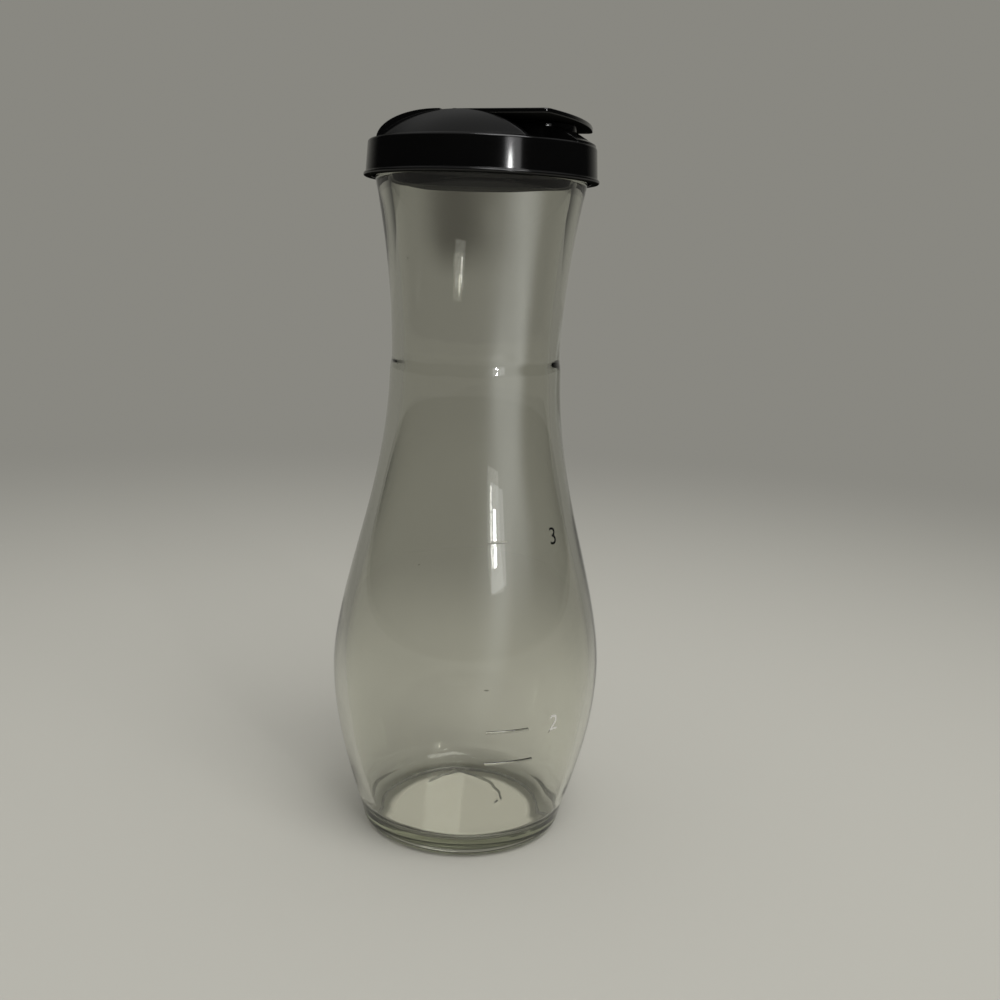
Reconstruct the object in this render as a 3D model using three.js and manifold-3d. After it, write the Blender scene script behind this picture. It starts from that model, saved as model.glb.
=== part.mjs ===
// Salad dressing cruet: a waisted glass bottle, a soft stopper that seals its mouth,
// a push-on cap with a pour spout, and a flip cover hinged over the spout.
// Millimetres, +Z up. The origin is the centre of the base, and the spout lies towards +X.
import * as THREE from 'three';
import { mergeVertices } from 'three/addons/utils/BufferGeometryUtils.js';
import Module from 'manifold-3d';

// Clearances
const SEAT_GAP = 0.3;
const OVERRUN = 1;
const WELD = 0.002;

// Bottle outside
const BEARING_R = 24.8;
const BEARING_WIDTH = 2;
const PUNT_DEPTH = 1.2;
const HEEL_R = 28.15;
const HEEL_H = 3.2;
const BELLY_R = 36.85;
const BELLY_Z = 46.5;
const BODY_H = 128.9;
const WAIST_R = 22.8;
const NECK_R = 22.35;
const STEP_H = 0.5;
const FINISH_R = 25.9;
const LIP_TOP_Z = 182.4;
const LIP_ROUND = 0.6;
const SHOULDER_Z = 176.2;
const SHOULDER_STEP = 1.55;
const SHOULDER_H = 1.6;

// Bottle inside
const MOUTH_BORE_R = 23.6;
const BORE_DEPTH = 7.1;
const BODY_WALL = 3;
const NECK_WALL = 2.75;
const FLOOR_T = 3.8;
const FLOOR_FILLET = 4;

// How the outline eases from one radius to the next
const BODY_EASE_SHARE = 0.85;
const NECK_FLARE_SHARE = 1.94;

// Raised fill marks: heights above the base, and shares of the longest mark's length
const MARK_HEIGHTS = [30.4, 39.3, 86.8];
const MARK_LENGTH_SHARES = [1, 0.87, 0.4];
const MARK_LENGTH = 13;
const MARK_H = 0.8;
const MARK_PROUD = 0.4;
const MARK_START_DEG = -61;

// Soft stopper
const FLANGE_T = 1;
const PLUG_DEPTH = 5.2;
const PLUG_WALL = 1.5;
const FIN_COUNT = 3;
const FIN_DEPTH = 1.9;
const FIN_T = 0.8;
const FIN_RISE = 0.6;

// Cap
const DECK_T = 1.3;
const SHELL_WALL = 1.5;
const SKIRT_SPACE = 2.45;
const SKIRT_WALL = 1.6;
const SKIRT_DROP = 8.5;
const SKIRT_DRAFT = 0.45;
const BEAD_R = 0.55;
const RIM_ROUND = 0.75;
const COLLAR_WALL = 1.4;
const COLLAR_H = 4;
const DOME_R = 22;
const DOME_CENTRE_R = 11.3;
const DOME_DROP = 13.55;
const HEEL_SET = 0.2;
const HEEL_RUN = 16;

// Flip cover and its hinge
const COVER_RISE = 6.3;
const COVER_T = 1.25;
const COVER_HALF_WIDTH = 20.75;
const COVER_REACH = 26.5;
const COVER_BOW = 3;
const COVER_CORNER_R = 2;
const BARREL_R = 2.6;
const TRUNNION_R = 1.1;
const TRUNNION_L = 1.1;
const OPEN_DEG = 105;

// Pour spout
const SPOUT_X = 14.5;
const SPOUT_R = 10;
const SPOUT_WALL = 1.4;
const POUR_LIP_R = 29.1;
const POUR_LIP_RUN = 5.2;
const POUR_LIP_RISE = 3.5;
const POUR_LIP_EDGE = 0.45;
const POUR_LIP_HALF_WIDTH = 9;
const PLUG_RING_WALL = 1;
const PLUG_RING_DIP = 1.6;

// Facets
const BOTTLE_SIDES = 44;
const CAP_SIDES = 60;
const STOPPER_SIDES = 40;
const SPOUT_SIDES = 32;
const PIN_SIDES = 16;
const ARC_STEPS = 4;
const CURVE_STEPS = 8;
const BODY_STEPS = 10;
const BOW_STEPS = 10;

// Places that follow from the sizes above
const floorZ = PUNT_DEPTH + FLOOR_T;
const neckBottomZ = BODY_H + STEP_H;
const boreBottomZ = LIP_TOP_Z - BORE_DEPTH;

const flangeBottomZ = LIP_TOP_Z + SEAT_GAP;
const flangeTopZ = flangeBottomZ + FLANGE_T;
const plugBottomZ = LIP_TOP_Z - PLUG_DEPTH;
const finR = MOUTH_BORE_R - SEAT_GAP;
const plugR = finR - FIN_DEPTH;
const plugBoreR = plugR - PLUG_WALL;

const deckBottomZ = flangeTopZ + SEAT_GAP;
const deckTopZ = deckBottomZ + DECK_T;
const skirtBoreR = FINISH_R + SKIRT_SPACE;
const skirtR = skirtBoreR + SKIRT_WALL;
const rimR = skirtR - SKIRT_DRAFT;
const rimZ = deckTopZ - RIM_ROUND;
const beadZ = deckTopZ - SKIRT_DROP;
const rootZ = deckBottomZ + DECK_T / 4;
const heelR = rimR - HEEL_SET;
const domeFootR = DOME_CENTRE_R + Math.sqrt(DOME_R ** 2 - DOME_DROP ** 2);
const collarR = plugBoreR - SEAT_GAP;
const collarBoreR = collarR - COLLAR_WALL;
const flankPlane = COVER_HALF_WIDTH + SEAT_GAP;
const heelReach = Math.sqrt(heelR ** 2 - flankPlane ** 2);
const coverTopZ = deckTopZ + COVER_RISE;
const coverBottomZ = coverTopZ - COVER_T;
const hingeZ = coverTopZ - BARREL_R;
const spoutTopZ = coverBottomZ - SEAT_GAP;
const spoutBoreR = SPOUT_R - SPOUT_WALL;
const capReach = skirtR + COVER_REACH;

// Materials
const glass = new THREE.MeshStandardMaterial({
  color: 0xdfe6df, roughness: 0.06, metalness: 0, transparent: true, opacity: 0.35,
});
const softBlack = new THREE.MeshStandardMaterial({ color: 0x1b1b1a, roughness: 0.55, metalness: 0 });
const capBlack = new THREE.MeshStandardMaterial({ color: 0x0d0e0f, roughness: 0.16, metalness: 0 });
const coverBlack = new THREE.MeshStandardMaterial({ color: 0x0d0e0f, roughness: 0.16, metalness: 0 });

const wasm = await Module();
wasm.setup();

// Turns a closed geometry into a solid that can be joined and cut.
function toSolid(geometry) {
  const bare = geometry.clone();
  bare.deleteAttribute('normal');
  bare.deleteAttribute('uv');
  const merged = mergeVertices(bare);
  return new wasm.Manifold(new wasm.Mesh({
    numProp: 3,
    vertProperties: new Float32Array(merged.attributes.position.array),
    triVerts: new Uint32Array(merged.index.array),
  }));
}

// Joins points that lie closer together than the weld, and drops the slivers that they bounded.
function welded(geometry) {
  const joined = mergeVertices(geometry, WELD);
  const corners = Array.from(joined.index.array);
  const kept = [];
  for (let i = 0; i < corners.length; i += 3) {
    const triangle = corners.slice(i, i + 3);
    if (new Set(triangle).size === triangle.length) kept.push(...triangle);
  }
  joined.setIndex(kept);
  return joined;
}

function toMesh(name, solid, material) {
  const { vertProperties, triVerts } = solid.getMesh();
  const raw = new THREE.BufferGeometry();
  raw.setAttribute('position', new THREE.BufferAttribute(vertProperties, 3));
  raw.setIndex(new THREE.BufferAttribute(triVerts, 1));
  const geometry = welded(raw);
  geometry.computeVertexNormals();
  const mesh = new THREE.Mesh(geometry, material);
  mesh.name = name;
  return mesh;
}

// Turns a profile of [radius, height] pairs, listed up the outside, about an upright axis.
function turned(profile, sides, axisX = 0) {
  const points = profile.map(([radius, height]) => new THREE.Vector2(radius, height));
  return toSolid(new THREE.LatheGeometry(points, sides).rotateX(Math.PI / 2).translate(axisX, 0, 0));
}

// A ring of rectangular section.
function ring(innerR, outerR, z0, z1, sides, axisX) {
  const corners = [[innerR, z0], [outerR, z0], [outerR, z1], [innerR, z1], [innerR, z0]];
  return turned(corners, sides, axisX);
}

function disc(radius, z0, z1, sides, axisX) {
  return turned([[0, z0], [radius, z0], [radius, z1], [0, z1]], sides, axisX);
}

function block([x0, x1], [y0, y1], [z0, z1]) {
  const box = new THREE.BoxGeometry(x1 - x0, y1 - y0, z1 - z0);
  return toSolid(box.translate((x0 + x1) / 2, (y0 + y1) / 2, (z0 + z1) / 2));
}

// A flat shape in plan, raised between two heights.
function plate(shape, z0, z1) {
  const options = { depth: z1 - z0, bevelEnabled: false, curveSegments: ARC_STEPS };
  return toSolid(new THREE.ExtrudeGeometry(shape, options).translate(0, 0, z0));
}

// A round bar along the hinge, as long on one side as on the other.
function hingeBar(radius, halfLength, sides) {
  const cylinder = new THREE.CylinderGeometry(radius, radius, halfLength + halfLength, sides);
  return toSolid(cylinder.translate(0, 0, hingeZ));
}

function steps(count, at) {
  return Array.from({ length: count + 1 }, (unused, i) => at(i / count));
}

function between(z0, z1, count, radiusAt) {
  return steps(count, (t) => {
    const z = z0 + (z1 - z0) * t;
    return [radiusAt(z), z];
  });
}

// A quarter of an ellipse between two corners that leaves the first one level or upright.
function quarter([r0, z0], [r1, z1], leavesLevel, count = ARC_STEPS) {
  return steps(count, (t) => {
    const angle = (t * Math.PI) / 2;
    const slow = 1 - Math.cos(angle);
    const fast = Math.sin(angle);
    const [across, up] = leavesLevel ? [fast, slow] : [slow, fast];
    return [r0 + (r1 - r0) * across, z0 + (z1 - z0) * up];
  });
}

// Radius of the glass between the heel and the belly.
function lowerBodyR(z) {
  const t = (z - HEEL_H) / (BELLY_Z - HEEL_H);
  return HEEL_R + (BELLY_R - HEEL_R) * Math.sin((t * Math.PI) / 2);
}

// Radius of the glass between the belly and the waist, for either face of the wall.
function upperBodyR(z, bellyR, waistR, waistZ) {
  const t = (z - BELLY_Z) / (waistZ - BELLY_Z);
  const eased = (1 - Math.cos(Math.PI * t ** BODY_EASE_SHARE)) / 2;
  return bellyR + (waistR - bellyR) * eased;
}

// Radius of the flaring neck, for either face of the wall.
function neckR(z, bottomR, topR, topZ) {
  const t = (z - neckBottomZ) / (topZ - neckBottomZ);
  return bottomR + (topR - bottomR) * t ** NECK_FLARE_SHARE;
}

function bottleOutside() {
  const shoulderR = FINISH_R + SHOULDER_STEP;
  return [
    ...quarter([BEARING_R, 0], [HEEL_R, HEEL_H], true),
    ...between(HEEL_H, BELLY_Z, BODY_STEPS / 2, lowerBodyR).slice(1),
    ...between(BELLY_Z, BODY_H, BODY_STEPS, (z) => upperBodyR(z, BELLY_R, WAIST_R, BODY_H)).slice(1),
    ...between(neckBottomZ, SHOULDER_Z, CURVE_STEPS, (z) => neckR(z, NECK_R, shoulderR, SHOULDER_Z)),
    ...quarter([shoulderR, SHOULDER_Z], [FINISH_R, SHOULDER_Z + SHOULDER_H], false).slice(1),
    ...quarter([FINISH_R, LIP_TOP_Z - LIP_ROUND], [FINISH_R - LIP_ROUND, LIP_TOP_Z], false),
  ];
}

function bottleInside() {
  const filletTopZ = floorZ + FLOOR_FILLET;
  const filletR = lowerBodyR(filletTopZ) - BODY_WALL;
  const bellyR = BELLY_R - BODY_WALL;
  const waistR = NECK_R - NECK_WALL;
  const upward = [
    ...quarter([filletR - FLOOR_FILLET, floorZ], [filletR, filletTopZ], true),
    ...between(filletTopZ, BELLY_Z, BODY_STEPS / 2, (z) => lowerBodyR(z) - BODY_WALL).slice(1),
    ...between(BELLY_Z, neckBottomZ, BODY_STEPS, (z) => upperBodyR(z, bellyR, waistR, neckBottomZ)).slice(1),
    ...between(neckBottomZ, boreBottomZ, CURVE_STEPS,
      (z) => neckR(z, waistR, MOUTH_BORE_R, boreBottomZ)).slice(1),
    ...quarter([MOUTH_BORE_R, LIP_TOP_Z - LIP_ROUND], [MOUTH_BORE_R + LIP_ROUND, LIP_TOP_Z], false),
  ];
  return upward.reverse();
}

// A raised bar that follows the glass part of the way round at one height.
function fillMark(z, lengthShare) {
  const radius = z < BELLY_Z ? lowerBodyR(z) : upperBodyR(z, BELLY_R, WAIST_R, BODY_H);
  const start = THREE.MathUtils.degToRad(MARK_START_DEG);
  const end = start + (MARK_LENGTH * lengthShare) / radius;
  const shape = new THREE.Shape();
  shape.absarc(0, 0, radius + MARK_PROUD, start, end, false);
  shape.absarc(0, 0, radius - BODY_WALL / 2, end, start, true);
  return plate(shape, z - MARK_H / 2, z + MARK_H / 2);
}

function makeBottle() {
  const bearingBoreR = BEARING_R - BEARING_WIDTH;
  const punt = [[0, PUNT_DEPTH], [bearingBoreR - PUNT_DEPTH, PUNT_DEPTH], [bearingBoreR, 0]];
  const profile = [...punt, ...bottleOutside(), ...bottleInside(), [0, floorZ]];
  const marks = MARK_HEIGHTS.map((z, i) => fillMark(z, MARK_LENGTH_SHARES[i]));
  return marks.reduce((body, mark) => body.add(mark), turned(profile, BOTTLE_SIDES));
}

// A flange that lies on the lip, and a plug with wiper fins that press on the glass.
function makeStopper() {
  const finPitch = PLUG_DEPTH / FIN_COUNT;
  const flangeR = FINISH_R - LIP_ROUND;
  const fins = [];
  for (let i = 0; i < FIN_COUNT; i += 1) {
    const z = plugBottomZ + i * finPitch;
    fins.push([plugR, z], [finR, z + FIN_RISE], [finR, z + FIN_T], [plugR, z + FIN_T]);
  }
  return turned([
    [plugBoreR, plugBottomZ],
    ...fins,
    [plugR, flangeBottomZ],
    [flangeR, flangeBottomZ],
    [flangeR, flangeTopZ],
    [plugBoreR, flangeTopZ],
    [plugBoreR, plugBottomZ],
  ], STOPPER_SIDES);
}

// Skirt with its bead, rim, deck and the collar that the stopper is pushed on.
function capShell() {
  const bead = steps(ARC_STEPS, (t) => {
    const angle = (t - 1 / 2) * Math.PI;
    return [skirtR + BEAD_R * Math.cos(angle), beadZ + BEAD_R * Math.sin(angle)];
  });
  return turned([
    [0, deckBottomZ],
    [collarBoreR, deckBottomZ],
    [collarBoreR, deckBottomZ - COLLAR_H],
    [collarR, deckBottomZ - COLLAR_H],
    [collarR, deckBottomZ],
    [skirtBoreR, deckBottomZ],
    [skirtBoreR, beadZ - BEAD_R],
    ...bead,
    ...quarter([rimR, rimZ], [domeFootR, deckTopZ], false),
    [0, deckTopZ],
  ], CAP_SIDES);
}

// A solid under a profile that starts at its foot and ends nearest the axis.
function mound(profile, bottomZ) {
  const [footR] = profile[0];
  const [, topZ] = profile[profile.length - 1];
  return turned([[0, bottomZ], [footR, bottomZ], ...profile, [0, topZ]], CAP_SIDES);
}

// The dome that the side flanks are cut from, or its inner face.
function domeProfile(inset) {
  const radius = DOME_R - inset;
  const footAngle = Math.asin((DOME_DROP - DECK_T / 2) / radius);
  const topAngle = Math.acos((flankPlane - DOME_CENTRE_R) / radius);
  return steps(CURVE_STEPS, (t) => {
    const angle = footAngle + (topAngle - footAngle) * t;
    return [DOME_CENTRE_R + radius * Math.cos(angle), deckTopZ - DOME_DROP + radius * Math.sin(angle)];
  });
}

// The rounded heel of the middle strip, or the room inside it. It has the same side view
// from end to end, and is bowed backwards as the cover's front edge is bowed forwards.
function heelBlock(bottomZ, inset) {
  const topZ = coverTopZ - inset;
  const halfWidth = flankPlane - inset;
  const foot = [inset - heelReach, rimZ];
  const crest = [HEEL_RUN - heelReach, topZ];
  const side = [[COVER_BOW, bottomZ], [inset - heelReach, bottomZ],
    ...quarter(foot, crest, false, CURVE_STEPS), [COVER_BOW, topZ]];
  const shape = new THREE.Shape(side.map(([x, z]) => new THREE.Vector2(x, z)));
  const options = { depth: halfWidth + halfWidth, steps: BOW_STEPS, bevelEnabled: false };
  const bar = new THREE.ExtrudeGeometry(shape, options).rotateX(Math.PI / 2).translate(0, halfWidth, 0);
  const points = bar.attributes.position;
  for (let i = 0; i < points.count; i += 1) {
    const bow = COVER_BOW * (1 - (points.getY(i) / flankPlane) ** 2);
    points.setX(i, points.getX(i) - bow);
  }
  return toSolid(bar);
}

// What a solid has on both sides of the middle strip.
function sidesOnly(solid, halfWidth) {
  const strip = block([-capReach, capReach], [-halfWidth, halfWidth], [0, coverTopZ + OVERRUN]);
  return solid.subtract(strip);
}

// What a solid has behind the hinge. Its front face clears the barrel and leans back
// as far as the open cover does.
function rearOnly(solid, inset) {
  const lean = THREE.MathUtils.degToRad(OPEN_DEG) - Math.PI / 2;
  const offset = BARREL_R + SEAT_GAP + inset;
  const topZ = coverTopZ + OVERRUN;
  const faceX = (z) => -(offset + (z - hingeZ) * Math.sin(lean)) / Math.cos(lean);
  const kneeZ = hingeZ - offset * Math.sin(lean);
  const side = new THREE.Shape();
  side.moveTo(faceX(kneeZ), 0);
  side.lineTo(faceX(kneeZ), kneeZ);
  side.lineTo(faceX(topZ), topZ);
  side.lineTo(-capReach, topZ);
  side.lineTo(-capReach, 0);
  const options = { depth: capReach + capReach, bevelEnabled: false };
  const keep = new THREE.ExtrudeGeometry(side, options).rotateX(Math.PI / 2).translate(0, capReach, 0);
  return solid.intersect(toSolid(keep));
}

function spoutDisc(radius, z0, z1) {
  return disc(radius, z0, z1, SPOUT_SIDES, SPOUT_X);
}

// The sloping lip in front of the spout, down which dressing runs to the rim.
function pourLip() {
  const slope = turned([
    [0, rootZ],
    [heelR, rootZ],
    [heelR, rimZ],
    [POUR_LIP_R, deckTopZ + POUR_LIP_EDGE],
    [POUR_LIP_R - POUR_LIP_RUN, deckTopZ + POUR_LIP_RISE],
    [0, deckTopZ + POUR_LIP_RISE],
  ], CAP_SIDES);
  const width = [-POUR_LIP_HALF_WIDTH, POUR_LIP_HALF_WIDTH];
  return slope.intersect(block([SPOUT_X, capReach], width, [0, coverTopZ]));
}

function makeCap() {
  const pocketZ = deckBottomZ - OVERRUN;
  const socketR = TRUNNION_R + SEAT_GAP;
  const boss = hingeBar(socketR + SHELL_WALL, capReach, PIN_SIDES);
  const flanks = sidesOnly(mound(domeProfile(0), rootZ), flankPlane);
  const flankPockets = sidesOnly(mound(domeProfile(SHELL_WALL), pocketZ), flankPlane + SHELL_WALL);
  const rear = rearOnly(heelBlock(rootZ, 0), 0);
  const rearPocket = rearOnly(heelBlock(pocketZ, SHELL_WALL), SHELL_WALL);
  const collar = ring(collarBoreR, collarR, 0, coverTopZ, CAP_SIDES);
  const pourHole = spoutDisc(spoutBoreR, pocketZ, spoutTopZ)
    .intersect(disc(collarBoreR - SEAT_GAP, pocketZ, spoutTopZ, CAP_SIDES));
  return capShell()
    .add(flanks)
    .add(rear)
    .add(spoutDisc(SPOUT_R, rootZ, spoutTopZ))
    .add(pourLip())
    .subtract(flankPockets.subtract(boss))
    .subtract(rearPocket.subtract(collar))
    .subtract(hingeBar(socketR, flankPlane + TRUNNION_L, PIN_SIDES))
    .subtract(spoutDisc(spoutBoreR, deckTopZ, spoutTopZ + OVERRUN))
    .subtract(pourHole);
}

// Plan of the cover: straight sides and a bowed front edge with round corners.
function coverOutline() {
  const half = COVER_HALF_WIDTH;
  const cornerY = half - COVER_CORNER_R;
  const bowR = (half ** 2 + COVER_BOW ** 2) / (COVER_BOW + COVER_BOW);
  const bowX = COVER_REACH - bowR;
  const turn = Math.asin(cornerY / (bowR - COVER_CORNER_R));
  const cornerX = bowX + (bowR - COVER_CORNER_R) * Math.cos(turn);
  const arc = (x, y, radius, start, end) => steps(CURVE_STEPS, (t) => {
    const angle = start + (end - start) * t;
    return new THREE.Vector2(x + radius * Math.cos(angle), y + radius * Math.sin(angle));
  });
  return new THREE.Shape([
    new THREE.Vector2(0, -half),
    ...arc(cornerX, -cornerY, COVER_CORNER_R, -Math.PI / 2, -turn),
    ...arc(bowX, 0, bowR, -turn, turn).slice(1, -1),
    ...arc(cornerX, cornerY, COVER_CORNER_R, turn, Math.PI / 2),
    new THREE.Vector2(0, half),
  ]);
}

// The cover plate with its hinge barrel, and a plug ring that shuts the spout.
function makeCover() {
  const plugRingR = spoutBoreR - SEAT_GAP;
  const plateMidZ = coverBottomZ + COVER_T / 2;
  const ringBottomZ = spoutTopZ - PLUG_RING_DIP;
  return plate(coverOutline(), coverBottomZ, coverTopZ)
    .add(ring(plugRingR - PLUG_RING_WALL, plugRingR, ringBottomZ, plateMidZ, SPOUT_SIDES, SPOUT_X))
    .add(hingeBar(BARREL_R, COVER_HALF_WIDTH, PIN_SIDES))
    .add(hingeBar(TRUNNION_R, COVER_HALF_WIDTH + TRUNNION_L, PIN_SIDES));
}

const cruet = new THREE.Group();
cruet.add(
  toMesh('bottle', makeBottle(), glass),
  toMesh('stopper', makeStopper(), softBlack),
  toMesh('cap', makeCap(), capBlack),
  toMesh('flip_cover', makeCover(), coverBlack),
);

export default cruet;
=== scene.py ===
"""Dresses the salad dressing cruet: clear pressed glass, a gloss black cap and cover, and a soft stopper.

Lengths are in metres, +Z is up, the origin is the centre of the base, and the pour spout lies towards +X.
"""

import logging
import math
from dataclasses import dataclass
from enum import Enum
from typing import Callable, Sequence, Union

import bmesh
import bpy
from mathutils import Matrix, Vector


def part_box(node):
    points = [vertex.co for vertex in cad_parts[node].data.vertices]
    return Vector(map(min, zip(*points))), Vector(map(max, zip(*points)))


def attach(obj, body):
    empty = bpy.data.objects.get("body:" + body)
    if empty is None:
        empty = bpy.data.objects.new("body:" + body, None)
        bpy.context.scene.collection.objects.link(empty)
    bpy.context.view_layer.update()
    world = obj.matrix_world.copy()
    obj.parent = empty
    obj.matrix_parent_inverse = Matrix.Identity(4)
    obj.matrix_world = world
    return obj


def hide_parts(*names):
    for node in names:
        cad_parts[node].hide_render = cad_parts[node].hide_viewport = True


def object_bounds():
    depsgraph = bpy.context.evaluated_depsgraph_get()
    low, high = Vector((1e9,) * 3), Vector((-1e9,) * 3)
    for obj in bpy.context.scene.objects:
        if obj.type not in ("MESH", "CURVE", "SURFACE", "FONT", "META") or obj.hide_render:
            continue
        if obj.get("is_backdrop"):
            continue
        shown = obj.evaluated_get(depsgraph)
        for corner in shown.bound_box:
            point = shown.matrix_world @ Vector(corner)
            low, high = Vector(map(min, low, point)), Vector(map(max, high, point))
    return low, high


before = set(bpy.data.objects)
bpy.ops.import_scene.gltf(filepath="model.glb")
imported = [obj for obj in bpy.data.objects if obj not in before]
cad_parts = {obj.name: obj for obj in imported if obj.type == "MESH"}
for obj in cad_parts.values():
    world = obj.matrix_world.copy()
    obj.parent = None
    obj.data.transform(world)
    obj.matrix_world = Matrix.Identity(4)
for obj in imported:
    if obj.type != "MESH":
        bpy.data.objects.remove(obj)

logging.basicConfig(level=logging.INFO, format="%(name)s: %(message)s")
LOG = logging.getLogger("cruet")

Point = tuple[float, float]
Outline = list[Point]
Place = tuple[float, float, float]
Colour = tuple[float, float, float, float]
Solid = bpy.types.Object
Term = Union[float, "Value"]

MM = 0.001
SEAT_GAP = 0.3 * MM
OVERRUN = 1.0 * MM
WELD = 0.002 * MM
CREASE = math.radians(28)
BAR_SIDES = 64
PLUG_SIDES = 128


class Body(Enum):
    """The bodies that the pieces move with."""

    BOTTLE = "bottle"
    CAP = "cap"
    COVER = "flip_cover"


class Join(Enum):
    """How one solid is combined with another."""

    ADD = "UNION"
    KEEP = "INTERSECT"
    CUT = "DIFFERENCE"


class Value:
    """A socket that can be used in a Python expression."""

    def __init__(self, shop: "NodeShop", socket: bpy.types.NodeSocket) -> None:
        """Wraps an output socket in the tree of a node maker."""
        self.shop = shop
        self.socket = socket

    def _maths(self, operation: str, first: Term, second: Term | None) -> "Value":
        """Adds one Math node and returns its result."""
        return self.shop.node("ShaderNodeMath", {"operation": operation}, {0: first, 1: second})

    def __add__(self, other: Term) -> "Value":
        """Adds a number or another value."""
        return self._maths("ADD", self, other)

    def __sub__(self, other: Term) -> "Value":
        """Takes a number or another value away."""
        return self._maths("SUBTRACT", self, other)

    def __rsub__(self, other: float) -> "Value":
        """Takes this value away from a number."""
        return self._maths("SUBTRACT", other, self)

    def __mul__(self, other: Term) -> "Value":
        """Multiplies by a number or another value."""
        return self._maths("MULTIPLY", self, other)

    def __truediv__(self, other: Term) -> "Value":
        """Divides by a number or another value."""
        return self._maths("DIVIDE", self, other)

    def __rtruediv__(self, other: float) -> "Value":
        """Divides a number by this value."""
        return self._maths("DIVIDE", other, self)

    def __pow__(self, power: float) -> "Value":
        """Raises to a power."""
        return self._maths("POWER", self, power)

    def __abs__(self) -> "Value":
        """Drops the sign."""
        return self._maths("ABSOLUTE", self, None)

    def clamped(self) -> "Value":
        """Keeps the value between 0 and 1."""
        return self._maths("MINIMUM", self._maths("MAXIMUM", self, 0.0), 1.0)

    def eased(self, low: float, high: float) -> "Value":
        """Runs smoothly from 0 at the low end to 1 at the high end, which may be the smaller number."""
        share = ((self - low) / (high - low)).clamped()
        return share * share * (3 - 2 * share)

    def part(self, index: int) -> "Value":
        """Gives one component of a vector."""
        return self.shop.node("ShaderNodeSeparateXYZ", inputs={0: self}, output=index)

    __radd__ = __add__
    __rmul__ = __mul__


class NodeShop:
    """Makes the nodes of one tree, for a shader or for geometry."""

    NUMBERS = ("LENGTH", "DOT_PRODUCT")

    def __init__(self, tree: bpy.types.NodeTree) -> None:
        """Starts on a tree, whose old nodes are removed."""
        self.tree = tree
        tree.nodes.clear()

    def node(
        self,
        kind: str,
        settings: dict[str, object] | None = None,
        inputs: dict[int | str, object] | None = None,
        output: int | str = 0,
    ) -> Value:
        """Makes one node.

        Args:
            kind: Blender's name for the type of node.
            settings: The node's own properties, set before its sockets.
            inputs: Values or links for its input sockets, by index or name. None leaves a socket alone.
            output: The output socket that is returned.

        Returns:
            The output socket, ready for an expression.
        """
        made = self.tree.nodes.new(kind)
        for name, setting in (settings or {}).items():
            setattr(made, name, setting)
        for name, entry in (inputs or {}).items():
            if isinstance(entry, Value):
                self.tree.links.new(entry.socket, made.inputs[name])
            elif entry is not None:
                made.inputs[name].default_value = entry
        return Value(self, made.outputs[output] if made.outputs else None)

    def vector(
        self, operation: str, first: Value, second: "Value | Place | None" = None, scale: Term | None = None
    ) -> Value:
        """Adds one Vector Math node.

        Args:
            operation: Its operation.
            first: Its first vector.
            second: Its second vector, where it has one.
            scale: Its scale, where it has one.

        Returns:
            The result, which is a number for a length or a dot product.
        """
        output = "Value" if operation in self.NUMBERS else "Vector"
        inputs = {0: first, 1: second, "Scale": scale}
        return self.node("ShaderNodeVectorMath", {"operation": operation}, inputs, output)

    def upright(self, height: Value) -> Value:
        """Gives a vector along Z."""
        return self.node("ShaderNodeCombineXYZ", inputs={2: height})

    def mix(self, share: Value, first: "Value | Colour", second: "Value | Colour") -> Value:
        """Mixes two colours, the second by the share."""
        return self.node("ShaderNodeMix", {"data_type": "RGBA"}, {0: share, 6: first, 7: second}, output=2)

    def noise(self, place: Value, scale: Term) -> Value:
        """Gives soft noise about zero."""
        return self.node("ShaderNodeTexNoise", inputs={"Vector": place, "Scale": scale, "Detail": 1.0}) - 0.5

    def bell(self, distance: Value) -> Value:
        """Gives 1 at zero distance, and falls off on both sides."""
        return self.node("ShaderNodeMath", {"operation": "EXPONENT"}, {0: distance * distance * -1.0})

    def attribute(self, name: str) -> Value:
        """Reads a number that is stored on each point."""
        settings = {"data_type": "FLOAT"}
        return self.node("GeometryNodeInputNamedAttribute", settings, {"Name": name}, output="Attribute")

    def surface(self, colour: Colour, roughness: Term, **others: object) -> Value:
        """Adds a Principled shader.

        Args:
            colour: Its base colour.
            roughness: Its roughness.
            others: Its other sockets, with underscores for the spaces in their names.

        Returns:
            The shader.
        """
        inputs = {name.replace("_", " "): entry for name, entry in others.items()}
        inputs |= {"Base Color": colour, "Roughness": roughness}
        return self.node("ShaderNodeBsdfPrincipled", inputs=inputs)

    def end(self, surface: Value, volume: Value | None = None) -> None:
        """Ends a material."""
        self.node("ShaderNodeOutputMaterial", inputs={"Surface": surface, "Volume": volume})


def new_material(name: str) -> tuple[bpy.types.Material, NodeShop]:
    """Makes an empty material.

    Args:
        name: Its name.

    Returns:
        The material and the maker of its nodes.
    """
    material = bpy.data.materials.new(name)
    material.use_nodes = True
    return material, NodeShop(material.node_tree)


@dataclass(frozen=True)
class ClearGlass:
    """Pressed soda glass with a faint olive tint that deepens where the light runs along the wall."""

    tint: Colour = (0.965, 0.963, 0.925, 1.0)
    body_tint: Colour = (0.7, 0.72, 0.61, 1.0)
    absorption_per_metre: float = 50.0
    refraction: float = 1.5
    roughness: float = 0.0

    def material(self) -> bpy.types.Material:
        """Builds the glass.

        Returns:
            The material.
        """
        material, shop = new_material("clear_glass")
        wall = {"Color": self.body_tint, "Density": self.absorption_per_metre}
        shop.end(
            shop.surface(self.tint, self.roughness, IOR=self.refraction, Transmission_Weight=1.0),
            shop.node("ShaderNodeVolumeAbsorption", inputs=wall),
        )
        return material


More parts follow.
